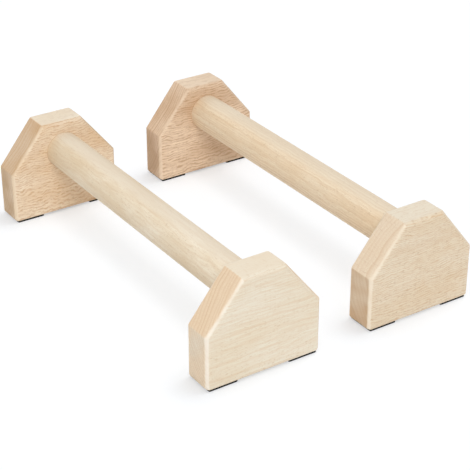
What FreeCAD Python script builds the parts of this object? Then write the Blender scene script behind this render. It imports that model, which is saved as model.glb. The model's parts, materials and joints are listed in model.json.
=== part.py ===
import FreeCAD, Part

import os

# A pair of low wooden parallette bars. Each bar is a round beech grip bar glued into
# blind sockets in two six-sided end blocks and locked from below by one screw a block.
# Each block stands on two rubber pads held by double-sided tape.
# Frame: bars along Y with their front ends at -Y, +Z up, origin on the floor midway
# between the two bars. Millimetres throughout.

# The pair
overall_length = 400.0          # of one bar, over the outer faces of its end blocks
bar_spacing = 175.0             # between the two grip bars' axes

# End block, a board cut to six sides
block_width = 120.0             # across the foot
block_height = 100.0
block_thickness = 31.5
block_top_width = 45.0
block_side_height = 53.0        # upright side, from the underside to the sloped shoulder
block_face_round = 4.5          # round the two large faces
block_corner_round = 3.0        # edges that run through the thickness
block_foot_round = 1.2          # the two long edges along the underside

# Grip bar and the glued socket that holds each of its ends
bar_diameter = 38.0
bar_end_chamfer = 1.5
wood_over_bar = 13.0            # from the bar's top line to the top of the block
socket_floor = 10.0             # wood left between the socket and the outer face
glue_film = 0.15                # radial gap round the bar, full of glue
glue_end_gap = 0.5              # between the bar's end and the socket's floor

# Lock screw, countersunk, driven up through the block into the bar's end
screw_diameter = 5.0
screw_point_length = 6.0
screw_bite = 21.5               # length of screw inside the bar
screw_head_diameter = 10.0
screw_head_rim = 0.6            # upright rim round the flat of the head
screw_head_sink = 0.5           # the flat of the head lies this deep in the underside
screw_hole_clearance = 0.25     # radial, in the block
screw_thread_clearance = 0.05   # radial, in the bar
drive_span = 5.4                # cross recess in the head, tip to tip
drive_width = 1.3
drive_depth = 2.2

# Rubber pad and its tape
pad_length = 30.0               # along the block's width
pad_thickness = 1.7
pad_face_inset = 0.75           # back from the block's front and rear faces
pad_side_inset = 3.0            # in from the block's side
pad_corner_round = 1.5
pad_edge_round = 0.4            # round the face on the floor
tape_thickness = 0.3
tape_inset = 0.6                # the tape stops short of the pad's outline

cut_overrun = 1.0               # how far a cutting tool runs past the wood

# Levels and places that follow from the sizes above
foot_height = pad_thickness + tape_thickness
block_top = foot_height + block_height
bar_radius = bar_diameter / 2
bar_axis_height = block_top - wood_over_bar - bar_radius
bar_underside = bar_axis_height - bar_radius
socket_depth = block_thickness - socket_floor
socket_radius = bar_radius + glue_film
bar_length = overall_length - 2 * (socket_floor + glue_end_gap)
front_face = -overall_length / 2
front_inner_face = front_face + block_thickness
front_block_middle = front_face + block_thickness / 2
socket_bottom = front_face + socket_floor
bar_front_end = -bar_length / 2
screw_place = (bar_front_end + front_inner_face) / 2    # middle of the bar's glued end
screw_radius = screw_diameter / 2
screw_head_radius = screw_head_diameter / 2
screw_hole_radius = screw_radius + screw_hole_clearance
screw_head_flat = foot_height + screw_head_sink
screw_rim_top = screw_head_flat + screw_head_rim
screw_cone_top = screw_rim_top + screw_head_radius - screw_radius    # a 90 degree cone
screw_tip = bar_underside + screw_bite
pad_depth = block_thickness - 2 * pad_face_inset
pad_place = block_width / 2 - pad_side_inset - pad_length / 2

UP = FreeCAD.Vector(0, 0, 1)
ALONG = FreeCAD.Vector(0, 1, 0)
ORIGIN = FreeCAD.Vector(0, 0, 0)
HALF_TURN = 180.0               # degrees


def point(x, y, z):
    return FreeCAD.Vector(x, y, z)


def upright_rod(radius, bottom, top):
    """A round rod on the screw's axis, between two heights."""
    return Part.makeCylinder(radius, top - bottom, point(0, screw_place, bottom), UP)


def upright_cone(bottom_radius, top_radius, bottom, top):
    """A cone on the screw's axis, between two heights."""
    base = point(0, screw_place, bottom)
    return Part.makeCone(bottom_radius, top_radius, top - bottom, base, UP)


def centred_plate(length, depth, bottom, thickness, corner_round):
    """A flat plate centred on the Z axis, with its upright corners rounded."""
    corner = point(-length / 2, -depth / 2, bottom)
    plate = Part.makeBox(length, depth, thickness, corner)
    upright_edges = [edge for edge in plate.Edges if edge.BoundBox.ZLength > thickness / 2]
    return plate.makeFillet(corner_round, upright_edges)


def front_socket():
    """The space bored into the front block for the bar's end."""
    bottom = point(0, socket_bottom, bar_axis_height)
    return Part.makeCylinder(socket_radius, socket_depth, bottom, ALONG)


def front_screw_hole():
    """Hole for the screw under the front block, with a countersink, up into the socket."""
    start = foot_height - cut_overrun
    hole = upright_rod(screw_hole_radius, start, bar_axis_height)
    head_room = upright_rod(screw_head_radius + screw_hole_clearance, start, screw_rim_top)
    countersink = upright_cone(screw_head_radius, screw_radius, screw_rim_top, screw_cone_top)
    return hole.fuse([head_room, countersink]).removeSplitter()


def edge_round(edge):
    """The rounding of one edge of a block that still has sharp edges."""
    box = edge.BoundBox
    if box.YLength > max(box.XLength, box.ZLength):
        return block_corner_round
    lies_flat = box.XLength > box.ZLength
    is_low = box.ZMax < foot_height + block_side_height / 2
    return block_foot_round if lies_flat and is_low else block_face_round


def rounded(solid):
    """A block with all its edges rounded in one step, each by its own radius."""
    bench = FreeCAD.newDocument()
    blank = bench.addObject("Part::Feature", "blank")
    blank.Shape = solid
    rounding = bench.addObject("Part::Fillet", "rounding")
    rounding.Base = blank
    radii = [edge_round(edge) for edge in solid.Edges]
    rounding.Edges = [(number, radius, radius) for number, radius in enumerate(radii, start=1)]
    bench.recompute()
    finished = rounding.Shape.copy()
    FreeCAD.closeDocument(bench.Name)
    return finished


def make_front_block():
    """Six-sided end block with rounded edges, the bar's socket and the screw's hole."""
    half_foot = block_width / 2
    half_top = block_top_width / 2
    shoulder = foot_height + block_side_height
    right_side = [(half_foot, foot_height), (half_foot, shoulder), (half_top, block_top)]
    left_side = [(-x, z) for x, z in reversed(right_side)]
    corners = [point(x, front_face, z) for x, z in right_side + left_side]
    outline = Part.makePolygon(corners + corners[:1])
    block = rounded(Part.Face(outline).extrude(ALONG * block_thickness))
    return block.cut(front_socket()).cut(front_screw_hole())


def bar_blank():
    """The round bar with chamfered ends, before its screw holes."""
    end = point(0, bar_front_end, bar_axis_height)
    bar = Part.makeCylinder(bar_radius, bar_length, end, ALONG)
    end_edges = [edge for edge in bar.Edges if isinstance(edge.Curve, Part.Circle)]
    return bar.makeChamfer(bar_end_chamfer, end_edges)


def make_grip_bar():
    """Grip bar with a screw hole in each glued end."""
    hole_radius = screw_radius + screw_thread_clearance
    hole_top = screw_tip + screw_thread_clearance
    hole = upright_rod(hole_radius, bar_underside - cut_overrun, hole_top)
    return bar_blank().cut([hole, to_rear(hole)])


def make_front_glue():
    """The glue that fills the socket round and behind the bar's end."""
    hole = upright_rod(screw_hole_radius, bar_underside - cut_overrun, bar_axis_height)
    return front_socket().cut(bar_blank()).cut(hole)


def make_front_screw():
    """Countersunk wood screw with a cross recess, head down."""
    point_start = screw_tip - screw_point_length
    rim = upright_rod(screw_head_radius, screw_head_flat, screw_rim_top)
    cone = upright_cone(screw_head_radius, screw_radius, screw_rim_top, screw_cone_top)
    shank = upright_rod(screw_radius, screw_cone_top, point_start)
    tip = upright_cone(screw_radius, 0, point_start, screw_tip)
    screw = rim.fuse([cone, shank, tip]).removeSplitter()
    slot_bottom = screw_head_flat - cut_overrun
    slot_corner = point(-drive_span / 2, screw_place - drive_width / 2, slot_bottom)
    slot = Part.makeBox(drive_span, drive_width, drive_depth + cut_overrun, slot_corner)
    crossing = slot.copy()
    crossing.rotate(point(0, screw_place, 0), UP, HALF_TURN / 2)
    return screw.cut([slot, crossing])


def make_pad():
    """Rubber pad, with a softened edge round the face on the floor."""
    pad = centred_plate(pad_length, pad_depth, 0, pad_thickness, pad_corner_round)
    floor_edges = [edge for edge in pad.Edges if edge.BoundBox.ZMax < pad_thickness / 2]
    return pad.makeFillet(pad_edge_round, floor_edges)


def make_pad_tape():
    """Double-sided tape between a pad and the block's underside."""
    length = pad_length - 2 * tape_inset
    depth = pad_depth - 2 * tape_inset
    corner_round = pad_corner_round - tape_inset
    return centred_plate(length, depth, pad_thickness, tape_thickness, corner_round)


def to_rear(shape):
    """A copy of a front-end shape, turned about the upright axis to the rear end."""
    turned = shape.copy()
    turned.rotate(ORIGIN, UP, HALF_TURN)
    return turned


def moved(shape, x, y=0):
    """A copy of a shape, set down at another place on the floor."""
    copy = shape.copy()
    copy.translate(point(x, y, 0))
    return copy


def save(shape, node):
    """Writes a node, which has to be one solid."""
    (solid,) = shape.Solids
    solid.exportStep(os.path.join("parts", node + ".step"))
    print(f"{node}: {solid.Volume:.0f} mm3, valid {solid.isValid()}")


def build():
    """Makes every piece once at the front end and sets out both bars."""
    os.makedirs("parts", exist_ok=True)
    grip_bar = make_grip_bar()
    end_pieces = {
        "block": make_front_block(),
        "socket_glue": make_front_glue(),
        "lock_screw": make_front_screw(),
    }
    foot_pieces = {"pad": make_pad(), "pad_tape": make_pad_tape()}
    for bar, side in (("left", -1), ("right", 1)):
        bar_x = side * bar_spacing / 2
        pad_columns = {"inner": bar_x - side * pad_place, "outer": bar_x + side * pad_place}
        save(moved(grip_bar, bar_x), f"{bar}_grip_bar")
        for end, block_y in (("front", front_block_middle), ("rear", -front_block_middle)):
            for piece, shape in end_pieces.items():
                at_end = shape if end == "front" else to_rear(shape)
                save(moved(at_end, bar_x), f"{bar}_{end}_{piece}")
            for place, pad_x in pad_columns.items():
                for piece, shape in foot_pieces.items():
                    save(moved(shape, pad_x, block_y), f"{bar}_{end}_{place}_{piece}")


build()
print(f"grip bar {bar_length:.1f} mm long, its axis {bar_axis_height:.1f} mm above the floor")
print(f"lock screw {screw_tip - screw_head_flat:.1f} mm long")
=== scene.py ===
# %% [markdown]
# # A pair of beech parallette bars
# Two low wooden bars for handstands and push-ups. Each one is a round grip bar glued into two
# six-sided end blocks that stand on black rubber pads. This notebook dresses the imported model: it
# loads the pieces at their real size, builds finer meshes in the same places, and gives every
# surface a procedural finish.

import json
import math

import bmesh
import bpy
from mathutils import Matrix, Vector

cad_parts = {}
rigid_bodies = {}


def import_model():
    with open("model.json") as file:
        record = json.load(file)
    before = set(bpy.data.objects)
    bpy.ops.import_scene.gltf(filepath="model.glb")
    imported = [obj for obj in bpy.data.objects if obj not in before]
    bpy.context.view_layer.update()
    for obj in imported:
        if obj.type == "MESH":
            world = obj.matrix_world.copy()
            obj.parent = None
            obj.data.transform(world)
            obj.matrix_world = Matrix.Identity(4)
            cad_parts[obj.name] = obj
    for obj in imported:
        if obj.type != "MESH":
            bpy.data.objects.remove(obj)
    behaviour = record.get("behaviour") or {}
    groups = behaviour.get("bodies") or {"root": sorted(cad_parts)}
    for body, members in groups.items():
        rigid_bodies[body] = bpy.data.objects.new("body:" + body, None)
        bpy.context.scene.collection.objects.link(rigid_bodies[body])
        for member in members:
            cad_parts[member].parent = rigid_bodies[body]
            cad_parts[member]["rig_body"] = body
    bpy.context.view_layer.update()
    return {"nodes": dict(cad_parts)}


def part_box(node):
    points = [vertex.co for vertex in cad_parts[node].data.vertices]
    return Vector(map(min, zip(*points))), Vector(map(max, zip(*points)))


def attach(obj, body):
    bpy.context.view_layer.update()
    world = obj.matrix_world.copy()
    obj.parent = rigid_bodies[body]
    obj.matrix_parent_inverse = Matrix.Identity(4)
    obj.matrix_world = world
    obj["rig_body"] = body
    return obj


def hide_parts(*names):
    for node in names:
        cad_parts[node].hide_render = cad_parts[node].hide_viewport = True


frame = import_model()
scene = bpy.context.scene
scene.view_settings.view_transform = "Standard"

# %% [markdown]
# ## One way to make every mesh
# Blocks, bars, pads and screws are all stacks of closed outlines. Each could be extruded and
# bevelled by hand, or a profile could be revolved. Lofting does it all: the outlines have equally
# many points, each is joined to the next by a strip of quads, and a flat face closes each end.
# Points that coincide are merged afterwards, so an outline may shrink its rounded corners to sharp
# ones.

# %% Loft a stack of outlines into a closed mesh
MERGE_DISTANCE = 1e-7


def loft(name, outlines):
    """A closed mesh through a list of outlines, each a list of equally many points."""
    shell = bmesh.new()
    rings = [[shell.verts.new(corner) for corner in outline] for outline in outlines]
    count = len(rings[0])
    for lower, upper in zip(rings, rings[1:]):
        for here in range(count):
            after = (here + 1) % count
            shell.faces.new((lower[here], lower[after], upper[after], upper[here]))
    shell.faces.new(list(reversed(rings[0])))
    shell.faces.new(rings[-1])
    bmesh.ops.remove_doubles(shell, verts=shell.verts, dist=MERGE_DISTANCE)
    bmesh.ops.recalc_face_normals(shell, faces=shell.faces)
    mesh = bpy.data.meshes.new(name)
    shell.to_mesh(mesh)
    shell.free()
    return mesh


print("points closer than", MERGE_DISTANCE, "metres are merged")

# %% Turned and rounded outlines
def round_point(radius, turn, height):
    """The point at a radius from the Z axis, turned about it by an angle, at a height."""
    return Vector((radius * math.cos(turn), radius * math.sin(turn), height))


def turned_rings(profile, segments):
    """The outlines of a turned piece about the Z axis, from a list of radius and height pairs."""
    turns = [math.tau * step / segments for step in range(segments)]
    return [[round_point(radius, turn, height) for turn in turns] for radius, height in profile]


def turned(name, profile, segments):
    """A turned piece about the Z axis, half a step round, so that crossing ones share no corner."""
    mesh = loft(name, turned_rings(profile, segments))
    mesh.transform(Matrix.Rotation(math.pi / segments, 4, "Z"))
    return mesh


def rounded_outline(corners, insets, rounds, arc_steps):
    """A flat anticlockwise outline whose sides move inwards and whose corners are rounded."""
    count = len(corners)
    sides = [(corners[(here + 1) % count] - corners[here]).normalized() for here in range(count)]
    inward = [Vector((-side.y, side.x)) for side in sides]
    points = []
    for here in range(count):
        before = here - 1
        turn = sides[before].angle(sides[here])
        steep = math.sin(turn) ** 2
        along_before = (insets[before] - insets[here] * math.cos(turn)) / steep
        along_here = (insets[here] - insets[before] * math.cos(turn)) / steep
        corner = corners[here] + inward[before] * along_before + inward[here] * along_here
        reach = rounds[here] * math.tan(turn / 2)
        centre = corner - sides[before] * reach + inward[before] * rounds[here]
        for step in range(arc_steps + 1):
            swing = Matrix.Rotation(turn * step / arc_steps, 2)
            points.append(centre - swing @ inward[before] * rounds[here])
    return points


def quarter_round(radius, steps):
    """Depth and inset pairs across a rounded edge, from one face to the next."""
    swings = [math.radians(90) * (1 - step / steps) for step in range(steps + 1)]
    return [(radius * (1 - math.sin(swing)), radius * (1 - math.cos(swing))) for swing in swings]


print("a quarter round of 3 steps:", [(round(d, 3), round(i, 3)) for d, i in quarter_round(1, 3)])

# %% [markdown]
# ## Cutting holes and setting a piece in place
# Sockets and screw holes are cut with the Boolean modifier, as a drill would cut them, and the
# result is kept as a plain mesh. Shading is smooth except across sharp edges. Every new piece then
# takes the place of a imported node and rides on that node's body, so it moves with it.

# %% Carve, smooth and place
SHARP_ANGLE = math.radians(38)


def carve(mesh, cutters):
    """The mesh with every cutter, a mesh in the same place, taken away."""
    blank = bpy.data.objects.new("blank", mesh)
    drills = [bpy.data.objects.new("drill", cutter) for cutter in cutters]
    for part in [blank] + drills:
        scene.collection.objects.link(part)
    for drill in drills:
        cut = blank.modifiers.new("cut", "BOOLEAN")
        cut.operation = "DIFFERENCE"
        cut.solver = "EXACT"
        cut.object = drill
    view = bpy.context.evaluated_depsgraph_get()
    carved = bpy.data.meshes.new_from_object(blank.evaluated_get(view))
    carved.name = mesh.name
    for part in [blank] + drills:
        bpy.data.objects.remove(part)
    return carved


def set_in_place(mesh, name, place, node):
    """A smooth-shaded piece at a place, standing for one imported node."""
    mesh.shade_smooth()
    mesh.set_sharp_from_angle(angle=SHARP_ANGLE)
    piece = bpy.data.objects.new(name, mesh)
    piece.matrix_world = place
    scene.collection.objects.link(piece)
    piece.modifiers.new("flat faces stay flat", "WEIGHTED_NORMAL").keep_sharp = True
    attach(piece, frame["nodes"][node]["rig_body"])
    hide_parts(node)
    return piece


print("edges stay sharp above", round(math.degrees(SHARP_ANGLE)), "degrees")

# %% [markdown]
# ## End blocks
# Each block is a beech board cut to six sides. The edges round its two large faces are rounded over
# widely, those through its thickness less, and the long edges of the foot only broken. A Bevel
# modifier gives every edge one width, so the outline is lofted through the thickness instead, and
# its sides draw in where the edges round over. The socket for the grip bar is blind, so it is cut
# from the inner face only, and the screw's hole comes up into it from the foot.

# %% End block mesh
BLOCK_TOP_WIDTH = 0.045
BLOCK_SIDE_HEIGHT = 0.053
BLOCK_FACE_ROUND = 0.0045
BLOCK_CORNER_ROUND = 0.003
BLOCK_FOOT_ROUND = 0.0012
EDGE_STEPS = 8
SOCKET_SEGMENTS = 128
CUT_OVERRUN = 0.001

block_low, block_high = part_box("left_front_block")
block_middle = (block_low + block_high) / 2
block_width, block_thickness, block_height = block_high - block_low
glue_low, glue_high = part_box("left_front_socket_glue")
bar_axis_height = (glue_low.z + glue_high.z) / 2
socket_radius = (glue_high.z - glue_low.z) / 2


def block_outline(depth, edge_inset, y):
    """The block's six-sided outline at one depth below the nearer of its two large faces."""
    half_foot = block_width / 2
    half_top = BLOCK_TOP_WIDTH / 2
    foot = -block_height / 2
    shoulder = foot + BLOCK_SIDE_HEIGHT
    right_side = [(half_foot, foot), (half_foot, shoulder), (half_top, block_height / 2)]
    left_side = [(-x, z) for x, z in reversed(right_side)]
    corners = [Vector(corner) for corner in left_side[-1:] + right_side + left_side[:-1]]
    rise = max(BLOCK_FOOT_ROUND - depth, 0)
    foot_inset = BLOCK_FOOT_ROUND - math.sqrt(BLOCK_FOOT_ROUND**2 - rise**2)
    insets = [foot_inset] + [edge_inset] * (len(corners) - 1)
    rounds = [BLOCK_CORNER_ROUND * (1 - edge_inset / BLOCK_FACE_ROUND)] * len(corners)
    outline = rounded_outline(corners, insets, rounds, EDGE_STEPS)
    return [Vector((corner.x, y, corner.y)) for corner in outline]


def block_blank():
    """The block before its holes, about its own middle, with its outer face towards -Y."""
    face = -block_thickness / 2
    edge = quarter_round(BLOCK_FACE_ROUND, EDGE_STEPS)
    outer = [block_outline(depth, inset, face + depth) for depth, inset in edge]
    inner = [block_outline(depth, inset, -face - depth) for depth, inset in reversed(edge)]
    return loft("end_block", outer + inner)


def socket_drill():
    """The round cutter for the bar's socket, from its floor out past the inner face."""
    bottom = glue_low.y - block_middle.y
    mouth = block_thickness / 2 + CUT_OVERRUN
    profile = [(socket_radius, -mouth), (socket_radius, -bottom)]
    drill = turned("socket_drill", profile, SOCKET_SEGMENTS)
    drill.transform(Matrix.Rotation(math.radians(90), 4, "X"))
    drill.transform(Matrix.Translation((0, 0, bar_axis_height - block_middle.z)))
    return drill


print("block:", [round(length, 4) for length in (block_width, block_thickness, block_height)])
socket_depth = glue_high.y - glue_low.y
print("socket:", round(2 * socket_radius, 4), "wide and", round(socket_depth, 4), "deep")

# %% [markdown]
# ## Lock screws
# One countersunk wood screw a block comes up through the foot into the bar. Only its head shows,
# from below: it is turned with a small rim, and its cross recess is carved with a tapered cross.
# The Screw modifier could sweep a thread, but here the shank is lofted too. Each ring of points
# bulges where the ridge passes, and the bulge goes round once in every pitch.

# %% Lock screw mesh
SCREW_SEGMENTS = 32
SCREW_SHANK_RADIUS = 0.0025
SCREW_CORE_RADIUS = 0.0017
SCREW_HEAD_RIM = 0.0006
SCREW_RIM_BREAK = 0.00015
SCREW_POINT_LENGTH = 0.006
THREAD_PITCH = 0.0024
THREAD_RIDGE_SHARE = 0.3
THREAD_STEPS = 10
PLAIN_SHANK_LENGTH = 0.02
POINT_RADIUS = 0.0002
RECESS_SPAN = 0.0054
RECESS_WIDTH = 0.0013
RECESS_DEPTH = 0.0022
RECESS_TAPER_SHARE = 0.45

screw_low, screw_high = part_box("left_front_lock_screw")
screw_middle = (screw_low + screw_high) / 2
screw_length = screw_high.z - screw_low.z
head_radius = (screw_high.x - screw_low.x) / 2
cone_top = SCREW_HEAD_RIM + head_radius - SCREW_SHANK_RADIUS


def cross_outline(share, height):
    """The cross recess at one height, with arms that shorten and narrow by a share."""
    long = RECESS_SPAN / 2 * share
    thin = RECESS_WIDTH / 2 * share
    arm = [Vector((long, -thin)), Vector((long, thin)), Vector((thin, thin))]
    turns = [Matrix.Rotation(math.radians(90) * quarter, 2) for quarter in range(4)]
    return [Vector((*(turn @ corner), height)) for turn in turns for corner in arm]


def thread_ring(height, thread_start):
    """One outline of the threaded shank, which tapers to the screw's point."""
    taper = min((screw_length - height) / SCREW_POINT_LENGTH, 1)
    ring = []
    for step in range(SCREW_SEGMENTS):
        share = step / SCREW_SEGMENTS
        off_ridge = abs(((height - thread_start) / THREAD_PITCH - share) % 1 - 0.5)
        ridge = max(1 - off_ridge / THREAD_RIDGE_SHARE, 0)
        radius = SCREW_CORE_RADIUS + (SCREW_SHANK_RADIUS - SCREW_CORE_RADIUS) * ridge
        radius = POINT_RADIUS + (radius - POINT_RADIUS) * taper
        ring.append(round_point(radius, math.tau * share, height))
    return ring


def screw_mesh():
    """The screw, head down, with the flat of its head at height zero."""
    thread_start = cone_top + PLAIN_SHANK_LENGTH
    profile = [
        (head_radius - SCREW_RIM_BREAK, 0),
        (head_radius, SCREW_RIM_BREAK),
        (head_radius, SCREW_HEAD_RIM),
        (SCREW_SHANK_RADIUS, cone_top),
        (SCREW_SHANK_RADIUS, thread_start),
    ]
    rings = turned_rings(profile, SCREW_SEGMENTS)
    steps = round((screw_length - thread_start) / THREAD_PITCH * THREAD_STEPS)
    for step in range(1, steps + 1):
        height = thread_start + (screw_length - thread_start) * step / steps
        rings.append(thread_ring(height, thread_start))
    outlines = [cross_outline(1, -RECESS_DEPTH), cross_outline(RECESS_TAPER_SHARE, RECESS_DEPTH)]
    return carve(loft("lock_screw", rings), [loft("recess", outlines)])


finished_screw = screw_mesh()
print("screw:", round(screw_length, 4), "long, head", round(2 * head_radius, 4), "wide")

# %% Holes in the block
SCREW_CLEARANCE = 0.00025


def screw_drill():
    """The stepped cutter for a screw's hole in the foot, about the screw's axis."""
    head_hole = head_radius + SCREW_CLEARANCE
    shank_hole = SCREW_SHANK_RADIUS + SCREW_CLEARANCE
    profile = [
        (head_hole, -CUT_OVERRUN - block_low.z),
        (head_hole, SCREW_HEAD_RIM),
        (shank_hole, cone_top),
        (shank_hole, bar_axis_height - screw_low.z),
    ]
    return turned("screw_drill", profile, SCREW_SEGMENTS)


drill = screw_drill()
from_block = (0, screw_middle.y - block_middle.y, screw_low.z - block_middle.z)
drill.transform(Matrix.Translation(from_block))
block_mesh = carve(block_blank(), [socket_drill(), drill])
print("block with its holes:", len(block_mesh.polygons), "faces")

# %% Set the blocks and screws at both ends of both bars
SIDES = ("left", "right")
ENDS = ("front", "rear")
HALF_TURN = Matrix.Rotation(math.pi, 4, "Z")    # pieces are made for the front, turned for the rear


def middle_place(node):
    """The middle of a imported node's box."""
    low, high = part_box(node)
    return Matrix.Translation((low + high) / 2)


def standing_place(node):
    """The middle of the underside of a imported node's box."""
    low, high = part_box(node)
    return Matrix.Translation(((low.x + high.x) / 2, (low.y + high.y) / 2, low.z))


blocks = {}
screws = []
for side in SIDES:
    for end in ENDS:
        turn = Matrix.Identity(4) if end == "front" else HALF_TURN
        name, node = f"{side}_{end}_end_block", f"{side}_{end}_block"
        place = middle_place(node) @ turn
        blocks[side, end] = set_in_place(block_mesh.copy(), name, place, node)
        name, node = f"{side}_{end}_screw", f"{side}_{end}_lock_screw"
        place = standing_place(node) @ turn
        screws.append(set_in_place(finished_screw.copy(), name, place, node))
print("blocks:", len(blocks), "and screws:", len(screws))

# %% [markdown]
# ## Grip bars
# The grip is a beech dowel with a small chamfer at each end, hidden in the sockets. A cylinder
# primitive shows its flats along the outline, so the dowel is turned from a profile in 128 steps. A
# pilot hole for each screw is drilled from below.

# %% Grip bar mesh
BAR_SEGMENTS = 128
BAR_END_CHAMFER = 0.0015
PILOT_GAP = 0.00005

bar_low, bar_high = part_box("left_grip_bar")
bar_radius = (bar_high.x - bar_low.x) / 2
bar_length = bar_high.y - bar_low.y


def grip_bar_mesh():
    """The dowel along Y about its own middle, with a pilot hole near each end."""
    half = bar_length / 2
    profile = [
        (bar_radius - BAR_END_CHAMFER, -half),
        (bar_radius, -half + BAR_END_CHAMFER),
        (bar_radius, half - BAR_END_CHAMFER),
        (bar_radius - BAR_END_CHAMFER, half),
    ]
    dowel = turned("grip_bar", profile, BAR_SEGMENTS)
    dowel.transform(Matrix.Rotation(math.radians(90), 4, "X"))
    hole_radius = SCREW_SHANK_RADIUS + PILOT_GAP
    hole_top = screw_high.z - bar_axis_height
    hole = [(hole_radius, -bar_radius - CUT_OVERRUN), (hole_radius, hole_top)]
    pilots = []
    for place in (screw_middle.y, -screw_middle.y):
        pilot = turned("pilot", hole, SCREW_SEGMENTS)
        pilot.transform(Matrix.Translation((0, place, 0)))
        pilots.append(pilot)
    return carve(dowel, pilots)


bars = {}
dowel_mesh = grip_bar_mesh()
for side in SIDES:
    node = f"{side}_grip_bar"
    place = middle_place(node)
    bars[side] = set_in_place(dowel_mesh.copy(), f"{side}_bar", place, node)
print("bars:", round(bar_length, 4), "long and", round(2 * bar_radius, 4), "thick")

# %% [markdown]
# ## Rubber pads
# A thin black pad is taped under each end of every block. It is cut from sheet, so its faces are
# flat, but the soft edge swells a little where the weight presses on it. The loft stacks rounded
# rectangles that bulge at half height and round over towards the floor.

# %% Pad mesh
PLACES = ("inner", "outer")
PAD_CORNER_ROUND = 0.0015
PAD_FLOOR_ROUND = 0.0004
PAD_TOP_ROUND = 0.0002
PAD_SWELL = 0.00015
PAD_STEPS = 5

pad_low, pad_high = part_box("left_front_inner_pad")
pad_length, pad_depth, pad_thickness = pad_high - pad_low


def pad_outline(inset, height):
    """A rounded rectangle about the Z axis, drawn in by an inset."""
    half_length = pad_length / 2
    half_depth = pad_depth / 2
    corners = [(-half_length, -half_depth), (half_length, -half_depth)]
    corners += [(-x, -y) for x, y in corners]
    corners = [Vector(corner) for corner in corners]
    sides = len(corners)
    insets = [inset] * sides
    rounds = [PAD_CORNER_ROUND - inset] * sides
    outline = rounded_outline(corners, insets, rounds, PAD_STEPS)
    return [Vector((corner.x, corner.y, height)) for corner in outline]


def pad_mesh():
    """The pad about its own upright axis, standing on height zero."""
    floor_edge = quarter_round(PAD_FLOOR_ROUND, PAD_STEPS)
    top_edge = quarter_round(PAD_TOP_ROUND, PAD_STEPS)
    levels = [(depth, inset + PAD_SWELL) for depth, inset in floor_edge]
    levels.append((pad_thickness / 2, 0))
    levels += [(pad_thickness - depth, inset + PAD_SWELL) for depth, inset in reversed(top_edge)]
    return loft("pad", [pad_outline(inset, height) for height, inset in levels])


pads = []
for side in SIDES:
    for end in ENDS:
        for place_name in PLACES:
            node = f"{side}_{end}_{place_name}_pad"
            place = standing_place(node)
            pads.append(set_in_place(pad_mesh(), f"{node}_rubber", place, node))
print("pads:", len(pads), "of", [round(length, 4) for length in pad_high - pad_low])

# %% [markdown]
# ## Shader helpers
# A material is a small tree of nodes. These helpers add a node, fill or link its inputs and hand
# back a socket, so that the finishes below read like recipes. Effects that several finishes share
# become node groups with named inputs and outputs.

# %% Small helpers for node trees
MIX_BELOW, MIX_ABOVE, MIX_RESULT = 6, 7, 2    # the colour sockets of a Mix node


def tone(red, green, blue):
    """A colour as it looks on screen, 0 to 255, in the linear values that shaders use."""
    shares = [value / 255 for value in (red, green, blue)]
    linear = [s / 12.92 if s <= 0.04045 else ((s + 0.055) / 1.055) ** 2.4 for s in shares]
    return (*linear, 1.0)


def add_node(tree, kind, inputs, **settings):
    """Adds a shader node, sets its options and fills or links its inputs."""
    node = tree.nodes.new("ShaderNode" + kind)
    for option, value in settings.items():
        setattr(node, option, value)
    for socket, value in inputs.items():
        if isinstance(value, bpy.types.NodeSocket):
            tree.links.new(value, node.inputs[socket])
        else:
            node.inputs[socket].default_value = value
    return node


def sum_up(tree, operation, *values):
    """A Math node's result."""
    return add_node(tree, "Math", dict(enumerate(values)), operation=operation).outputs[0]


def sum_vectors(tree, operation, vector, other):
    """A Vector Math node's result. To scale a vector, the other value is a number."""
    socket = "Scale" if operation == "SCALE" else 1
    return add_node(tree, "VectorMath", {0: vector, socket: other}, operation=operation).outputs[0]


def fade(tree, value, start, stop, low=0.0, high=1.0):
    """A smooth step from low to high as a value goes from start to stop."""
    inputs = {0: value, 1: start, 2: stop, 3: low, 4: high}
    return add_node(tree, "MapRange", inputs, interpolation_type="SMOOTHSTEP").outputs[0]


def blend_colours(tree, share, below, above):
    """Two colours mixed by a share."""
    inputs = {0: share, MIX_BELOW: below, MIX_ABOVE: above}
    return add_node(tree, "Mix", inputs, data_type="RGBA").outputs[MIX_RESULT]


grey = [round(value, 3) for value in tone(128, 128, 128)[:3]]
print("white is", tone(255, 255, 255), "and mid grey", grey)

# %% New groups and their use
SOCKET_KINDS = {float: "NodeSocketFloat", tuple: "NodeSocketColor", Vector: "NodeSocketVector"}


def new_group(name, inputs, outputs):
    """An empty shader node group with named sockets, and the sockets of its two end nodes."""
    group = bpy.data.node_groups.new(name, "ShaderNodeTree")
    sockets = group.interface
    for socket, default in inputs.items():
        kind = SOCKET_KINDS[type(default)]
        sockets.new_socket(socket, in_out="INPUT", socket_type=kind).default_value = default
    for socket, kind in outputs.items():
        sockets.new_socket(socket, in_out="OUTPUT", socket_type=SOCKET_KINDS[kind])
    given = group.nodes.new("NodeGroupInput").outputs
    result = group.nodes.new("NodeGroupOutput").inputs
    return group, given, result


def use_group(tree, group, inputs):
    """Places a node group in a tree and returns its outputs."""
    return add_node(tree, "Group", inputs, node_tree=group).outputs


print("kinds of socket:", sorted(SOCKET_KINDS.values()))

# %% [markdown]
# ## Where a point lies in the log
# Grain looks right on every face only if it is solid, as in real wood: a board is cut out of a log,
# and each face shows the same rings, rays and fibres from another side. So the first group turns a
# point of a piece into log coordinates in millimetres: how far along the trunk, how far around it
# and how far out from the pith. Slow noise lets the trunk wander and quicker noise ripples the
# fibres.

# %% Node group: log coordinates
MILLIMETRES = 1000.0
WANDER_SCALES = (0.007, 0.02, 0.02)       # changes per millimetre along and across the trunk
RIPPLE_SCALES = (0.07, 0.035, 0.035)
NOISE_MIDDLE = (0.5, 0.5, 0.5)
SWAY = (0.0, 4.0, 4.0)                    # noise moves a point across the trunk, never along it

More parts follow.
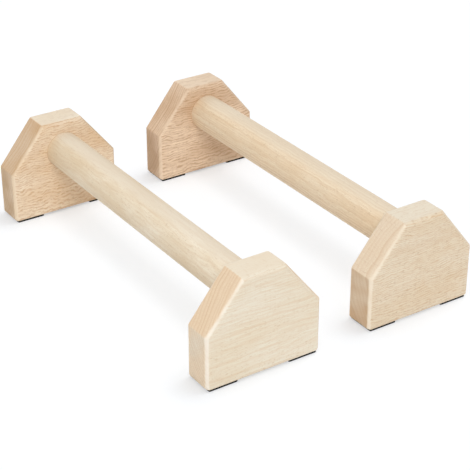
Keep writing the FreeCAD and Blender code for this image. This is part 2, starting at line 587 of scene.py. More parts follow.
log_position, given, result = new_group(
    "log position",
    {"Position": Vector(), "Wander": 3.0, "Ripple": 0.6, "Mean Radius": 90.0},
    {"Along": float, "Around": float, "Radius": float},
)
tree = log_position
point = sum_vectors(tree, "SCALE", given["Position"], MILLIMETRES)
for scales, reach in ((WANDER_SCALES, "Wander"), (RIPPLE_SCALES, "Ripple")):
    spread = sum_vectors(tree, "MULTIPLY", point, scales)
    noise = add_node(tree, "TexNoise", {"Vector": spread, "Scale": 1.0, "Detail": 2.0})
    centred = sum_vectors(tree, "SUBTRACT", noise.outputs["Color"], NOISE_MIDDLE)
    push = sum_vectors(tree, "SCALE", sum_vectors(tree, "MULTIPLY", centred, SWAY), given[reach])
    point = sum_vectors(tree, "ADD", point, push)
axes = add_node(tree, "SeparateXYZ", {0: point}).outputs
flat = add_node(tree, "CombineXYZ", {1: axes[1], 2: axes[2]}).outputs[0]
angle = sum_up(tree, "ARCTAN2", axes[2], axes[1])
radius = add_node(tree, "VectorMath", {0: flat}, operation="LENGTH").outputs["Value"]
tree.links.new(axes[0], result["Along"])
tree.links.new(sum_up(tree, "MULTIPLY", angle, given["Mean Radius"]), result["Around"])
tree.links.new(radius, result["Radius"])
print("group:", log_position.name, "with", len(log_position.nodes), "nodes")

# %% [markdown]
# ## Growth rings
# Beech lays down a pale band each spring and a slightly darker line each autumn. The distance from
# the pith, divided by the ring's width, gives a sawtooth; its end is the autumn line. Noise makes
# some years wide and some narrow, and each year has its own strength.

# %% Node group: growth rings
YEAR_CHANGE = 0.09                        # how fast the years change in width, per millimetre
AUTUMN_START, AUTUMN_PEAK = 0.35, 0.93    # shares of a year's growth
FAINTEST_YEAR = 0.4

growth_rings, given, result = new_group(
    "growth rings",
    {"Radius": 0.0, "Ring Width": 3.0, "Unevenness": 1.2},
    {"Late Wood": float},
)
tree = growth_rings
count = sum_up(tree, "DIVIDE", given["Radius"], given["Ring Width"])
slow = sum_up(tree, "MULTIPLY", given["Radius"], YEAR_CHANGE)
years = add_node(tree, "TexNoise", {"W": slow, "Scale": 1.0}, noise_dimensions="1D").outputs["Fac"]
count = sum_up(tree, "MULTIPLY_ADD", years, given["Unevenness"], count)
season = sum_up(tree, "FRACT", count)
darkens = fade(tree, season, AUTUMN_START, AUTUMN_PEAK)
ends = fade(tree, season, AUTUMN_PEAK, 1.0, 1.0, 0.0)
autumn = sum_up(tree, "MULTIPLY", darkens, ends)
year = sum_up(tree, "FLOOR", count)
vigour = add_node(tree, "TexWhiteNoise", {"W": year}, noise_dimensions="1D").outputs["Value"]
strength = fade(tree, vigour, 0.0, 1.0, FAINTEST_YEAR, 1.0)
tree.links.new(sum_up(tree, "MULTIPLY", autumn, strength), result["Late Wood"])
print("group:", growth_rings.name, "with", len(growth_rings.nodes), "nodes")

# %% [markdown]
# ## Ray flecks
# What makes beech look like beech are its rays, thin ribbons that run from the pith outwards. Cut
# across they show as short dark dashes along the grain, cut along as silky patches, and on end
# grain as fine lines. One Voronoi pattern, stretched in log coordinates, gives all three. A second,
# finer set fills in the small ones.

# %% Node group: ray flecks
RAY_SCALE_OUTWARDS = 0.06                 # rays reach far out, so few changes per millimetre
FLECK_CORE, FLECK_RIM = 0.12, 0.42        # shares of a cell
FAINTEST_FLECK = 0.35


def scaled(tree, along, around, radius, scales):
    """Three coordinates, each times its own scale, as one vector."""
    pairs = zip((along, around, radius), scales)
    parts = [sum_up(tree, "MULTIPLY", value, scale) for value, scale in pairs]
    return add_node(tree, "CombineXYZ", dict(enumerate(parts))).outputs[0]


ray_flecks, given, result = new_group(
    "ray flecks",
    {"Along": 0.0, "Around": 0.0, "Radius": 0.0, "Length": 4.0, "Width": 0.9, "Amount": 0.5},
    {"Fleck": float},
)
tree = ray_flecks
scales = (
    sum_up(tree, "DIVIDE", 1.0, given["Length"]),
    sum_up(tree, "DIVIDE", 1.0, given["Width"]),
    RAY_SCALE_OUTWARDS,
)
spread = scaled(tree, given["Along"], given["Around"], given["Radius"], scales)
cells = add_node(tree, "TexVoronoi", {"Vector": spread, "Scale": 1.0})
spindle = fade(tree, cells.outputs["Distance"], FLECK_CORE, FLECK_RIM, 1.0, 0.0)
lot = add_node(tree, "SeparateColor", {0: cells.outputs["Color"]}).outputs
kept = sum_up(tree, "LESS_THAN", lot[0], given["Amount"])
depth = fade(tree, lot[1], 0.0, 1.0, FAINTEST_FLECK, 1.0)
fleck = sum_up(tree, "MULTIPLY", sum_up(tree, "MULTIPLY", spindle, kept), depth)
tree.links.new(fleck, result["Fleck"])
print("group:", ray_flecks.name, "with", len(ray_flecks.nodes), "nodes")

# %% [markdown]
# ## Fibres, figure and drift
# Between the rings the wood is made of fibres: hair-thin lines some centimetres long. The tone also
# drifts slowly from one part of a board to the next. Both are noise that is stretched along the
# trunk. Thin wavy lines, the figure, lie over them at an even pitch. They could be painted as one
# more noise, but then they would swell and pinch. So they are counted off around the trunk, as the
# rings are outwards, and noise only bends and breaks them.

# %% Node group: fibres
FIBRE_SCALES = (0.035, 1.1, 1.1)          # changes per millimetre along, around and outwards
DRIFT_SCALES = (0.012, 0.03, 0.03)
NOISE_LOW, NOISE_HIGH = 0.27, 0.73        # most of a noise lies between these
BENDS = (1.0, 0.2)                        # changes for each length and pitch of the figure
BEND_REACH = 3.0                          # in pitches
BREAKS = (2.5, 1.2)
BREAK_LOW, BREAK_HIGH = 0.4, 0.6
BROKEN_STRENGTH = 0.2
LINE_CORE, LINE_RIM = 0.06, 0.34          # in pitches


def stretched_noise(tree, place, scales, detail):
    """Noise in log coordinates, with its own scale along, around and out from the pith."""
    inputs = {"Vector": scaled(tree, *place, scales), "Scale": 1.0, "Detail": detail}
    return add_node(tree, "TexNoise", inputs).outputs["Fac"]


def figure_noise(tree, place, sizes, changes, detail):
    """Noise with so many changes for each length and each pitch of the figure."""
    along = sum_up(tree, "DIVIDE", changes[0], sizes["Figure Length"])
    across = sum_up(tree, "DIVIDE", changes[1], sizes["Figure Pitch"])
    return stretched_noise(tree, place, (along, across, across), detail)


wood_fibres, given, result = new_group(
    "wood fibres",
    {"Along": 0.0, "Around": 0.0, "Radius": 0.0, "Figure Pitch": 4.0, "Figure Length": 40.0},
    {"Fibre": float, "Figure": float, "Drift": float},
)
tree = wood_fibres
place = (given["Along"], given["Around"], given["Radius"])
for socket, scales, detail in (("Fibre", FIBRE_SCALES, 3.0), ("Drift", DRIFT_SCALES, 2.0)):
    noise = stretched_noise(tree, place, scales, detail)
    tree.links.new(fade(tree, noise, NOISE_LOW, NOISE_HIGH), result[socket])
bends = figure_noise(tree, place, given, BENDS, detail=2.0)
gaps = figure_noise(tree, place, given, BREAKS, detail=1.0)
count = sum_up(tree, "DIVIDE", given["Around"], given["Figure Pitch"])
line = sum_up(tree, "FRACT", sum_up(tree, "MULTIPLY_ADD", bends, BEND_REACH, count))
off_line = sum_up(tree, "ABSOLUTE", sum_up(tree, "SUBTRACT", line, 0.5))
stroke = fade(tree, off_line, LINE_CORE, LINE_RIM, 1.0, 0.0)
breaks = fade(tree, gaps, BREAK_LOW, BREAK_HIGH, BROKEN_STRENGTH, 1.0)
tree.links.new(sum_up(tree, "MULTIPLY", stroke, breaks), result["Figure"])
print("group:", wood_fibres.name, "with", len(wood_fibres.nodes), "nodes")

# %% [markdown]
# ## End grain, slopes, pale edges and painted sheen
# Where the fibres end at a surface they drink more of the finish, so the sides are darker than the
# long faces, and on the slopes, which cut the rings at a slant, the rings stand out as stripes. The
# surface's own direction tells which is which. Sanding rounds the edges between the large faces and
# the ends, and a pale band is painted on them: partly the paleness of sanding, partly a painted
# highlight. There the surface leans both along Y and along the grain, so the product of the two
# leans is a mask of the rounding alone. A little noise keeps that pale band uneven, as a hand
# leaves it. Edges that face right in the scene get less of the band, because the painted highlight
# stands for light from the left. Faces that point up are painted greyer, a painted sheen for the
# light they reflect.

# %% Node group: end grain, slopes, painted edge highlight and painted sheen on upper faces
END_LEAN = (0.8, 0.98)                    # a lean of 1 is straight along the grain
SLOPE_LEAN_FROM = (0.35, 0.72)
SLOPE_LEAN_TO = (0.84, 0.97)
PAINTED_SHEEN_LEAN = (0.8, 1.0)                   # here a lean of 1 is straight up
EDGE_LEAN = (0.2, 0.48)
STROKE_SCALE = 80.0                       # sanding strokes per metre
STROKE_REACH = 0.3
RIGHT_SIDE_TURN = 0.2                     # from this lean to the right, the painted highlight on the edges is at its least
RIGHT_SIDE_SHARE = 0.4

cut_faces, given, result = new_group(
    "cut faces",
    {"Grain Axis": Vector((1.0, 0.0, 0.0))},
    {"End Grain": float, "Slope": float, "Sanding And Highlight": float, "Painted Sheen": float},
)
tree = cut_faces
surface = add_node(tree, "TexCoord", {}).outputs
directions = {0: surface["Normal"], 1: given["Grain Axis"]}
lean = add_node(tree, "VectorMath", directions, operation="DOT_PRODUCT").outputs["Value"]
lean = sum_up(tree, "ABSOLUTE", lean)
tree.links.new(fade(tree, lean, *END_LEAN), result["End Grain"])
starts = fade(tree, lean, *SLOPE_LEAN_FROM)
ends = fade(tree, lean, *SLOPE_LEAN_TO, 1.0, 0.0)
tree.links.new(sum_up(tree, "MULTIPLY", starts, ends), result["Slope"])
facing = add_node(tree, "SeparateXYZ", {0: surface["Normal"]}).outputs
# Painted sheen: faces that point up get a greyer tone that stands for the light they reflect.
tree.links.new(fade(tree, facing[2], *PAINTED_SHEEN_LEAN), result["Painted Sheen"])
# Pale band on the rounded edges: partly the paleness of sanding, partly a painted highlight.
both = sum_up(tree, "ABSOLUTE", sum_up(tree, "MULTIPLY", facing[1], lean))
inputs = {"Vector": surface["Object"], "Scale": STROKE_SCALE, "Detail": 2.0}
strokes = sum_up(tree, "SUBTRACT", add_node(tree, "TexNoise", inputs).outputs["Fac"], 0.5)
both = sum_up(tree, "MULTIPLY_ADD", strokes, STROKE_REACH, both)
# Painted highlight: edges that face right in the scene get less of the band, as the light falls
# from the left.
world_normal = add_node(tree, "NewGeometry", {}).outputs["Normal"]
to_right = add_node(tree, "SeparateXYZ", {0: world_normal}).outputs[0]
painted_highlight_side = fade(tree, to_right, -RIGHT_SIDE_TURN, RIGHT_SIDE_TURN, 1.0, RIGHT_SIDE_SHARE)
edge = sum_up(tree, "MULTIPLY", fade(tree, both, *EDGE_LEAN), painted_highlight_side)
tree.links.new(edge, result["Sanding And Highlight"])
print("group:", cut_faces.name, "with", len(cut_faces.nodes), "nodes")

# %% [markdown]
# ## Beech
# The finish of a whole piece puts these effects together: pale and warm wood mixed by the drift,
# end grain deeper in tone, darker autumn lines, figure, fibres and flecks over that, edges paler,
# partly from sanding and partly as a painted highlight, and faces that point up greyer, as a
# painted sheen. It gives a colour, a roughness and a height for the bump. Every block and bar then
# uses the group with its own colours and strengths, because no two boards come from the same place
# in a tree.

# %% Node group: beech
LONG_FLECKS = {"Length": 5.0, "Width": 1.1, "Amount": 0.4}
SHORT_FLECKS = {"Length": 2.6, "Width": 0.6, "Amount": 0.6}
LONG_FACE_END = 0.5                       # share of slope or end at which a long face ends
CUT_FLECK_SHARE = 0.35
BLOTCH_DRIFT = (0.1, 0.9)
LEAST_BLOTCH = 0.45
END_STRIPE_STRENGTH = 0.3
MEAN_ROUGHNESS = 0.5
EDGE_POLISH = -0.08
FIBRE_ROUGHNESS = 0.1
FLECK_DIP = -0.6                          # heights as shares of the grain's depth
RING_RISE = 0.4

beech, given, result = new_group(
    "beech",
    {
        "Along": 0.0,
        "Around": 0.0,
        "Radius": 0.0,
        "Grain Axis": Vector((1.0, 0.0, 0.0)),
        "Pale": tone(240, 226, 204),
        "Warm": tone(230, 210, 182),
        "Late Tone": tone(212, 184, 150),
        "Fleck Tone": tone(190, 154, 116),
        "End Tone": tone(206, 170, 132),
        "Slope Tone": tone(228, 200, 168),
        # The next two tones are painted light: a pale highlight on the edges, partly real sanding,
        # and a greyer sheen on faces that point up.
        "Sanding And Highlight Tone": tone(244, 232, 214),
        "Painted Sheen Tone": tone(228, 220, 205),
        "Ring Width": 3.5,
        "Figure Pitch": 4.0,
        "Figure Length": 40.0,
        "Ring Strength": 0.35,
        "Stripe Strength": 0.7,
        "Slope Strength": 0.4,
        "Figure Strength": 0.4,
        "Fleck Strength": 0.5,
        "Fibre Strength": 0.3,
        "End Strength": 0.95,
        "Sanding And Highlight Strength": 0.6,
        "Painted Sheen Strength": 0.6,
    },
    {"Color": tuple, "Roughness": float, "Height": float},
)
tree = beech
spot = {axis: given[axis] for axis in ("Along", "Around", "Radius")}
sizes = {name: given[name] for name in ("Figure Pitch", "Figure Length")}
fibres = use_group(tree, wood_fibres, {**spot, **sizes})
faces = use_group(tree, cut_faces, {"Grain Axis": given["Grain Axis"]})
years = {name: given[name] for name in ("Radius", "Ring Width")}
rings = use_group(tree, growth_rings, years)
long_flecks = use_group(tree, ray_flecks, {**spot, **LONG_FLECKS})
short_flecks = use_group(tree, ray_flecks, {**spot, **SHORT_FLECKS})
flecks = sum_up(tree, "MAXIMUM", long_flecks[0], short_flecks[0])
cut_across = sum_up(tree, "MAXIMUM", faces["Slope"], faces["End Grain"])
stripes, plain = given["Stripe Strength"], given["Ring Strength"]
ring_strength = sum_up(tree, "MULTIPLY_ADD", faces["Slope"], stripes, plain)
long_face = fade(tree, cut_across, 0.0, LONG_FACE_END, 1.0, 0.0)
figure = sum_up(tree, "MULTIPLY", fibres["Figure"], long_face)
fleck_share = fade(tree, cut_across, 0.0, LONG_FACE_END, 1.0, CUT_FLECK_SHARE)
flecks = sum_up(tree, "MULTIPLY", flecks, fleck_share)
blotches = fade(tree, fibres["Drift"], *BLOTCH_DRIFT, LEAST_BLOTCH, 1.0)
end_grain = sum_up(tree, "MULTIPLY", faces["End Grain"], blotches)
end_stripes = sum_up(tree, "MULTIPLY", faces["End Grain"], rings[0])
colour = blend_colours(tree, fibres["Drift"], given["Pale"], given["Warm"])
for amount, strength, layer in (
    (end_grain, given["End Strength"], "End Tone"),
    (faces["Slope"], given["Slope Strength"], "Slope Tone"),
    (end_stripes, END_STRIPE_STRENGTH, "Fleck Tone"),
    (rings[0], ring_strength, "Late Tone"),
    (figure, given["Figure Strength"], "Late Tone"),
    (fibres["Fibre"], given["Fibre Strength"], "Late Tone"),
    (flecks, given["Fleck Strength"], "Fleck Tone"),
    # pale edge band, partly sanding and partly a painted highlight
    (faces["Sanding And Highlight"], given["Sanding And Highlight Strength"], "Sanding And Highlight Tone"),
    # painted sheen: faces that point up turn greyer
    (faces["Painted Sheen"], given["Painted Sheen Strength"], "Painted Sheen Tone"),
):
    share = sum_up(tree, "MULTIPLY", amount, strength)
    colour = blend_colours(tree, share, colour, given[layer])
tree.links.new(colour, result["Color"])
worn = sum_up(tree, "MULTIPLY_ADD", faces["Sanding And Highlight"], EDGE_POLISH, MEAN_ROUGHNESS)
rough = sum_up(tree, "MULTIPLY_ADD", fibres["Fibre"], FIBRE_ROUGHNESS, worn)
tree.links.new(rough, result["Roughness"])
dips = sum_up(tree, "MULTIPLY_ADD", flecks, FLECK_DIP, fibres["Fibre"])
tree.links.new(sum_up(tree, "MULTIPLY_ADD", rings[0], RING_RISE, dips), result["Height"])
print("group:", beech.name, "with", len(beech.nodes), "nodes")

# %% [markdown]
# ## Six boards
# One material could serve all the wood, but then every board would show the same grain and tone. So
# each wooden piece gets a material of its own: where its pith lay, how wide the rings are and which
# tones it has. A Mapping node moves the piece to its place in the log and, for the bars, turns the
# grain along their length. The wood has a thin, clear, matt finish: little gloss of its own, and
# only a trace of a coat.

# %% Wood material
GRAIN_DEPTH = 0.00006
COAT_WEIGHT = 0.1
COAT_ROUGHNESS = 0.45
WOOD_SPECULAR = 0.2


def wood_material(name, grain_axis, log_place, looks, wander=3.0, ripple=0.6):
    """A beech material for one piece, cut at a given place in its log."""
    material = bpy.data.materials.new(name)
    material.use_nodes = True
    tree = material.node_tree
    shader = tree.nodes["Principled BSDF"]
    place = add_node(tree, "TexCoord", {}).outputs["Object"]
    quarter_turn = math.radians(-90) if grain_axis.y else 0.0
    move = {"Vector": place, "Location": log_place, "Rotation": (0, 0, quarter_turn)}
    moved = add_node(tree, "Mapping", move).outputs[0]
    mean_radius = math.hypot(*log_place[1:]) * MILLIMETRES
    trunk = {"Position": moved, "Wander": wander, "Ripple": ripple, "Mean Radius": mean_radius}
    spot = use_group(tree, log_position, trunk)
    inputs = {axis: spot[axis] for axis in ("Along", "Around", "Radius")}
    wood = use_group(tree, beech, {**inputs, "Grain Axis": grain_axis, **looks})
    relief = {"Height": wood["Height"], "Strength": 1.0, "Distance": GRAIN_DEPTH}
    bump = add_node(tree, "Bump", relief)
    tree.links.new(wood["Color"], shader.inputs["Base Color"])
    tree.links.new(wood["Roughness"], shader.inputs["Roughness"])
    tree.links.new(bump.outputs[0], shader.inputs["Normal"])
    shader.inputs["Coat Weight"].default_value = COAT_WEIGHT
    shader.inputs["Coat Roughness"].default_value = COAT_ROUGHNESS
    shader.inputs["Specular IOR Level"].default_value = WOOD_SPECULAR
    return material


print("the grain is", GRAIN_DEPTH, "metres deep")

# %% Wood of the four blocks
ACROSS = Vector((1.0, 0.0, 0.0))
# Each board's edge tone is partly a painted highlight, and its upper tone is a painted sheen.
BLOCK_LOOKS = {
    ("left", "front"): dict(
        log_place=(3.646, 0.085, -0.047),
        looks={
            "Pale": tone(237, 230, 213),
            "Warm": tone(233, 222, 200),
            "Late Tone": tone(216, 180, 138),
            "Fleck Tone": tone(206, 178, 142),
            "End Tone": tone(244, 223, 196),
            "Slope Tone": tone(236, 209, 177),
            "Sanding And Highlight Tone": tone(253, 247, 236),
            "Painted Sheen Tone": tone(236, 221, 198),
            "Ring Width": 3.7,
            "Ring Strength": 0.12,
            "Stripe Strength": 0.6,
            "Slope Strength": 0.8,
            "Figure Strength": 0.22,
            "Figure Pitch": 4.6,
            "Figure Length": 130.0,
            "Sanding And Highlight Strength": 0.65,
        },
    ),
    ("right", "front"): dict(
        log_place=(2.438, 0.095, -0.016),
        ripple=0.8,
        looks={
            "Pale": tone(236, 227, 208),
            "Warm": tone(230, 214, 188),
            "Late Tone": tone(210, 174, 134),
            "Fleck Tone": tone(186, 148, 110),
            "End Tone": tone(206, 175, 141),
            "Slope Tone": tone(238, 219, 195),
            "Sanding And Highlight Tone": tone(246, 235, 215),
            "Painted Sheen Tone": tone(235, 226, 208),
            "Ring Width": 4.6,
            "Ring Strength": 0.12,
            "Stripe Strength": 0.25,
            "Slope Strength": 0.6,
            "Figure Strength": 0.6,
            "Figure Pitch": 2.3,
            "Figure Length": 22.0,
            "Fleck Strength": 0.65,
        },
    ),
    ("left", "rear"): dict(
        log_place=(3.932, 0.090, -0.022),
        ripple=1.3,
        looks={
            "Pale": tone(247, 232, 209),
            "Warm": tone(230, 201, 165),
            "Late Tone": tone(200, 154, 108),
            "Fleck Tone": tone(180, 142, 102),
            "End Tone": tone(194, 165, 130),
            "Slope Tone": tone(184, 147, 103),
            "Sanding And Highlight Tone": tone(246, 228, 200),
            "Painted Sheen Tone": tone(238, 230, 211),
            "Ring Width": 3.4,
            "Ring Strength": 0.15,
            "Stripe Strength": 0.5,
            "Slope Strength": 0.5,
            "Figure Strength": 0.55,
            "Figure Pitch": 2.35,
            "Figure Length": 14.0,
        },
    ),
    ("right", "rear"): dict(
        log_place=(6.290, 0.090, -0.022),
        ripple=0.9,
        looks={
            "Pale": tone(246, 223, 196),
            "Warm": tone(214, 181, 147),
            "Late Tone": tone(180, 136, 98),
            "Fleck Tone": tone(164, 124, 90),
            "End Tone": tone(196, 165, 133),
            "Slope Tone": tone(214, 184, 152),
            "Sanding And Highlight Tone": tone(242, 220, 194),
            "Painted Sheen Tone": tone(234, 214, 189),
            "Ring Width": 3.6,
            "Ring Strength": 0.15,
            "Stripe Strength": 0.5,
            "Slope Strength": 0.4,
            "Figure Strength": 0.58,
            "Figure Pitch": 2.4,
            "Figure Length": 22.0,
        },
    ),
}


def dress(piece, material):
    """Gives a piece one material all over."""
    piece.data.materials.clear()
    piece.data.materials.append(material)


for (side, end), values in BLOCK_LOOKS.items():
    dress(blocks[side, end], wood_material(f"{side}_{end}_beech", ACROSS, **values))
print("blocks dressed:", len(BLOCK_LOOKS))

# %% Wood of the two bars
LENGTHWISE = Vector((0.0, 1.0, 0.0))
# Each bar's upper tone is a painted sheen along its top.
BAR_LOOKS = {
    "left": dict(
        log_place=(5.552, 0.060, 0.045),
        looks={
            "Pale": tone(245, 235, 215),
            "Warm": tone(228, 209, 179),
            "Painted Sheen Tone": tone(230, 217, 197),
            "Late Tone": tone(216, 188, 152),
            "Fleck Tone": tone(190, 158, 122),
            "Ring Strength": 0.25,
            "Fleck Strength": 0.4,
            "Figure Strength": 0.3,
            "Figure Pitch": 3.5,
            "Figure Length": 50.0,
        },
    ),
    "right": dict(
        log_place=(12.333, -0.114, -0.066),
        wander=1.5,
        looks={
            "Pale": tone(243, 228, 203),
            "Warm": tone(239, 218, 188),
            "Painted Sheen Tone": tone(229, 215, 193),
            "Late Tone": tone(212, 178, 136),
            "Fleck Tone": tone(190, 156, 118),
            "Ring Width": 2.8,
            "Ring Strength": 0.6,
            "Fleck Strength": 0.5,
            "Figure Strength": 0.25,
            "Figure Pitch": 2.7,
            "Figure Length": 160.0,
        },
    ),
}
for side, values in BAR_LOOKS.items():
    dress(bars[side], wood_material(f"{side}_bar_beech", LENGTHWISE, **values))
print("bars dressed:", len(BAR_LOOKS))

# %% [markdown]
# ## Rubber, tape, glue and steel
# The small parts have quiet finishes: matt black rubber with a fine tooth and a trace of dust, pale
# tape, amber wood glue and zinc-plated steel. Plain colours would do from afar, but up close they
# would all look like plastic. So a shared group of two noises breaks up each colour and roughness.

# %% Node group: mottle
MOTTLE_LOW, MOTTLE_HIGH = 0.3, 0.7

mottle, given, result = new_group(
    "mottle",
    {"Coarse Size": 4.0, "Fine Size": 0.4},
    {"Coarse": float, "Fine": float},
)
tree = mottle
place = add_node(tree, "TexCoord", {}).outputs["Object"]
for socket in ("Coarse", "Fine"):
    scale = sum_up(tree, "DIVIDE", MILLIMETRES, given[socket + " Size"])
    noise = add_node(tree, "TexNoise", {"Vector": place, "Scale": scale, "Detail": 3.0})
    tree.links.new(fade(tree, noise.outputs["Fac"], MOTTLE_LOW, MOTTLE_HIGH), result[socket])
print("group:", mottle.name, "with", len(mottle.nodes), "nodes")

# %% Four small finishes
def mottled_material(name, dark, light, roughness, relief, sizes, metallic=0.0, specular=0.5):
    """A mottled finish, with its relief in metres and its coarse and fine size in millimetres."""
    material = bpy.data.materials.new(name)
    material.use_nodes = True
    tree = material.node_tree
    shader = tree.nodes["Principled BSDF"]
    spots = use_group(tree, mottle, {"Coarse Size": sizes[0], "Fine Size": sizes[1]})
    both = sum_up(tree, "MULTIPLY", sum_up(tree, "ADD", spots["Coarse"], spots["Fine"]), 0.5)
    tree.links.new(blend_colours(tree, both, dark, light), shader.inputs["Base Color"])
    rough = fade(tree, spots["Coarse"], 0.0, 1.0, *roughness)
    tree.links.new(rough, shader.inputs["Roughness"])
    heights = {"Height": spots["Fine"], "Strength": 1.0, "Distance": relief}
    bump = add_node(tree, "Bump", heights)
    tree.links.new(bump.outputs[0], shader.inputs["Normal"])
    shader.inputs["Metallic"].default_value = metallic
    shader.inputs["Specular IOR Level"].default_value = specular
    return material


rubber = mottled_material(
    "pad_rubber",
    dark=tone(7, 7, 7),
    light=tone(18, 17, 17),
    roughness=(0.7, 0.9),
    relief=0.00004,
    sizes=(6.0, 0.5),
    specular=0.15,
)
tape = mottled_material(
    "pad_tape",
    dark=tone(206, 202, 192),
    light=tone(222, 219, 210),
    roughness=(0.4, 0.55),
    relief=0.00001,
    sizes=(5.0, 0.8),
)
glue = mottled_material(
    "wood_glue",
    dark=tone(176, 136, 92),
    light=tone(196, 158, 112),
    roughness=(0.35, 0.5),
    relief=0.00002,
    sizes=(3.0, 0.6),
)
steel = mottled_material(
    "screw_steel",
    dark=tone(168, 170, 172),
    light=tone(204, 206, 208),
    roughness=(0.28, 0.42),
    relief=0.00001,
    sizes=(2.0, 0.3),
    metallic=1.0,
)
for pad in pads:
    dress(pad, rubber)
for screw in screws:
    dress(screw, steel)
for name, node in frame["nodes"].items():
    for ending, finish in (("pad_tape", tape), ("socket_glue", glue)):
        if name.endswith(ending):
            dress(node, finish)
print("small finishes:", [material.name for material in (rubber, tape, glue, steel)])

# %% [markdown]
# ## Floor
# The bars stand on a white studio floor. A floor that is simply lit would come out grey and its
# shadows heavy, and more light would bleach the wood. So rays from the camera see a mix of the lit
# floor and plain white, while the wood is lit at an ordinary level. The paint is a little cool, so
# that warm light from the wood does not tint the shadows, and a little darker for light that
# bounces off it, so that the faces near the floor are not too bright.

# %% Floor
FLOOR_SIZE = 12.0
FLOOR_WHITE_SHARE = 0.42
FLOOR_PAINT = tone(246, 250, 255)
FLOOR_BOUNCE_PAINT = tone(230, 231, 232)
FLOOR_ROUGHNESS = 0.9


def seen_directly(tree):
    """One for rays that show the backdrop itself: from the camera, in gloss or through glass."""
    path = add_node(tree, "LightPath", {}).outputs
    seen = sum_up(tree, "MAXIMUM", path["Is Camera Ray"], path["Is Glossy Ray"])
    return sum_up(tree, "MAXIMUM", seen, path["Is Transmission Ray"])


def floor_material():
    """White floor that keeps pale shadows."""
    material = bpy.data.materials.new("studio_floor")
    material.use_nodes = True
    tree = material.node_tree
    shader = tree.nodes["Principled BSDF"]
    bounce = add_node(tree, "LightPath", {}).outputs["Is Diffuse Ray"]
    paint = blend_colours(tree, bounce, FLOOR_PAINT, FLOOR_BOUNCE_PAINT)
    tree.links.new(paint, shader.inputs["Base Color"])
    shader.inputs["Roughness"].default_value = FLOOR_ROUGHNESS
    shader.inputs["Specular IOR Level"].default_value = 0.0
    white = add_node(tree, "Emission", {"Color": tone(255, 255, 255), "Strength": 1.0})
    share = sum_up(tree, "MULTIPLY", seen_directly(tree), FLOOR_WHITE_SHARE)
    mixed = add_node(tree, "MixShader", {0: share, 1: shader.outputs[0], 2: white.outputs[0]})
    tree.links.new(mixed.outputs[0], tree.nodes["Material Output"].inputs["Surface"])
    return material


half_floor = FLOOR_SIZE / 2
floor_mesh = bpy.data.meshes.new("floor")
floor_corners = [(-half_floor, -half_floor, 0), (half_floor, -half_floor, 0)]
floor_corners += [(-x, -y, z) for x, y, z in floor_corners]
floor_mesh.from_pydata(floor_corners, [], [(0, 1, 2, 3)])
floor = bpy.data.objects.new("floor", floor_mesh)
scene.collection.objects.link(floor)
floor_mesh.materials.append(floor_material())
print("floor:", FLOOR_SIZE, "metres square, with", FLOOR_WHITE_SHARE, "plain white")

# %% [markdown]
# ## Light
# The room is even and white. A broad softbox at the front left, one behind and a weak one overhead
# model the round bars: they are palest on top and a little darker towards both sides. The ones in
# front and behind would throw shadows of their own across the floor, so light linking keeps them
# off it.
#
# The floor has two suns instead, because a sun lights a floor evenly to its far edge. One stands
# straight above and only the bars shade it, which leaves a soft band under each bar. The other is
# high at the right and only the blocks and pads shade it, which leaves a soft shadow to the left of
# the feet.

# %% Room
WORLD_LIGHT = 0.62

world = bpy.data.worlds.new("studio")
scene.world = world
world.use_nodes = True
backdrop = world.node_tree.nodes["Background"]
backdrop.inputs["Color"].default_value = tone(255, 255, 255)
level = fade(world.node_tree, seen_directly(world.node_tree), 0.0, 1.0, WORLD_LIGHT, 1.0)
world.node_tree.links.new(level, backdrop.inputs["Strength"])
print("light from the room:", WORLD_LIGHT)

# %% Softboxes and suns
def aimed(lamp, place):
    """A lamp in the scene, turned towards the origin."""
    stand = bpy.data.objects.new(lamp.name, lamp)
    stand.location = place
    stand.rotation_euler = Vector(place).to_track_quat("Z", "Y").to_euler()
    scene.collection.objects.link(stand)
    return stand


def softbox(name, place, size, share):
    """A square softbox that lights a white card at the origin to a share of full white."""
    lamp = bpy.data.lights.new(name, "AREA")
    lamp.shape = "SQUARE"
    lamp.size = size
    # A card that far away gets energy / (pi * distance**2), and shows 1 / pi of that
    lamp.energy = share * math.pi**2 * Vector(place).length_squared
    return aimed(lamp, place)


def soft_sun(name, place, width, share):
    """A sun, as wide as an angle, that lights a white card to a share of full white."""
    lamp = bpy.data.lights.new(name, "SUN")
    lamp.angle = width
    # A card gets the whole energy of a sun, and shows 1 / pi of it
    lamp.energy = share * math.pi
    return aimed(lamp, place)


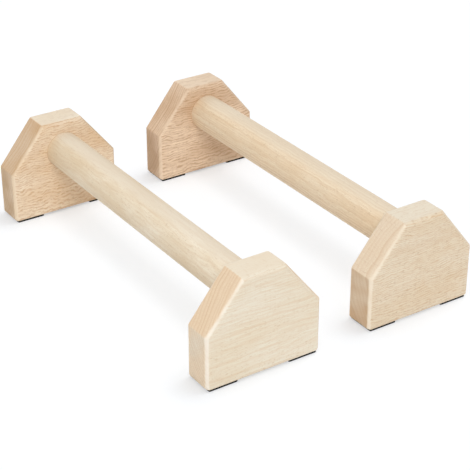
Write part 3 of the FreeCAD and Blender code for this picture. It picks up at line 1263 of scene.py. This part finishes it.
def light_linked(lamp, state, blockers=()):
    """Lets a lamp light the floor alone, or all but the floor.

    Where blockers are given, only they cast its shadows.
    """
    listed = bpy.data.collections.new(lamp.name + "_receivers")
    listed.objects.link(floor)
    listed.collection_objects[0].light_linking.link_state = state
    lamp.light_linking.receiver_collection = listed
    if blockers:
        shading = bpy.data.collections.new(lamp.name + "_blockers")
        for piece in blockers:
            shading.objects.link(piece)
        lamp.light_linking.blocker_collection = shading


softbox("overhead_softbox", (-0.3, 0.2, 3.0), size=1.5, share=0.03)
rear_box = softbox("rear_softbox", (0.0, 3.0, 1.7), size=2.0, share=0.18)
light_linked(rear_box, "EXCLUDE")
front_box = softbox("front_softbox", (-1.0, -2.2, 2.4), size=1.4, share=0.395)
light_linked(front_box, "EXCLUDE")
bar_sun = soft_sun("bar_shadow_sun", (0.0, 0.0, 3.0), width=math.radians(20), share=0.15)
light_linked(bar_sun, "INCLUDE", list(bars.values()))
foot_sun = soft_sun("foot_shadow_sun", (1.1, 0.05, 3.0), width=math.radians(30), share=0.325)
light_linked(foot_sun, "INCLUDE", list(blocks.values()) + pads)
print("lamps:", [lamp.name for lamp in bpy.data.lights])

# %% [markdown]
# ## Camera
# The photograph was taken from the front left, looking down at the pair with a long lens. The
# angles, the distance and the lens below were worked out from the outline of the bars, for a square
# picture.

# %% Camera at the photograph's viewing angle
CAMERA_AZIMUTH = math.radians(-33.49)
CAMERA_ELEVATION = math.radians(28.68)
CAMERA_DISTANCE = 1.4921
CAMERA_TARGET = Vector((0.0292, 0.0231, 0.0))
CAMERA_LENS = 111.3

back = Vector(
    (
        math.sin(CAMERA_AZIMUTH) * math.cos(CAMERA_ELEVATION),
        -math.cos(CAMERA_AZIMUTH) * math.cos(CAMERA_ELEVATION),
        math.sin(CAMERA_ELEVATION),
    )
)
camera = bpy.data.objects.new("camera", bpy.data.cameras.new("camera"))
camera.data.lens = CAMERA_LENS
camera.location = CAMERA_TARGET + back * CAMERA_DISTANCE
camera.rotation_euler = back.to_track_quat("Z", "Y").to_euler()
scene.collection.objects.link(camera)
scene.camera = camera
print("camera at", [round(value, 3) for value in camera.location])
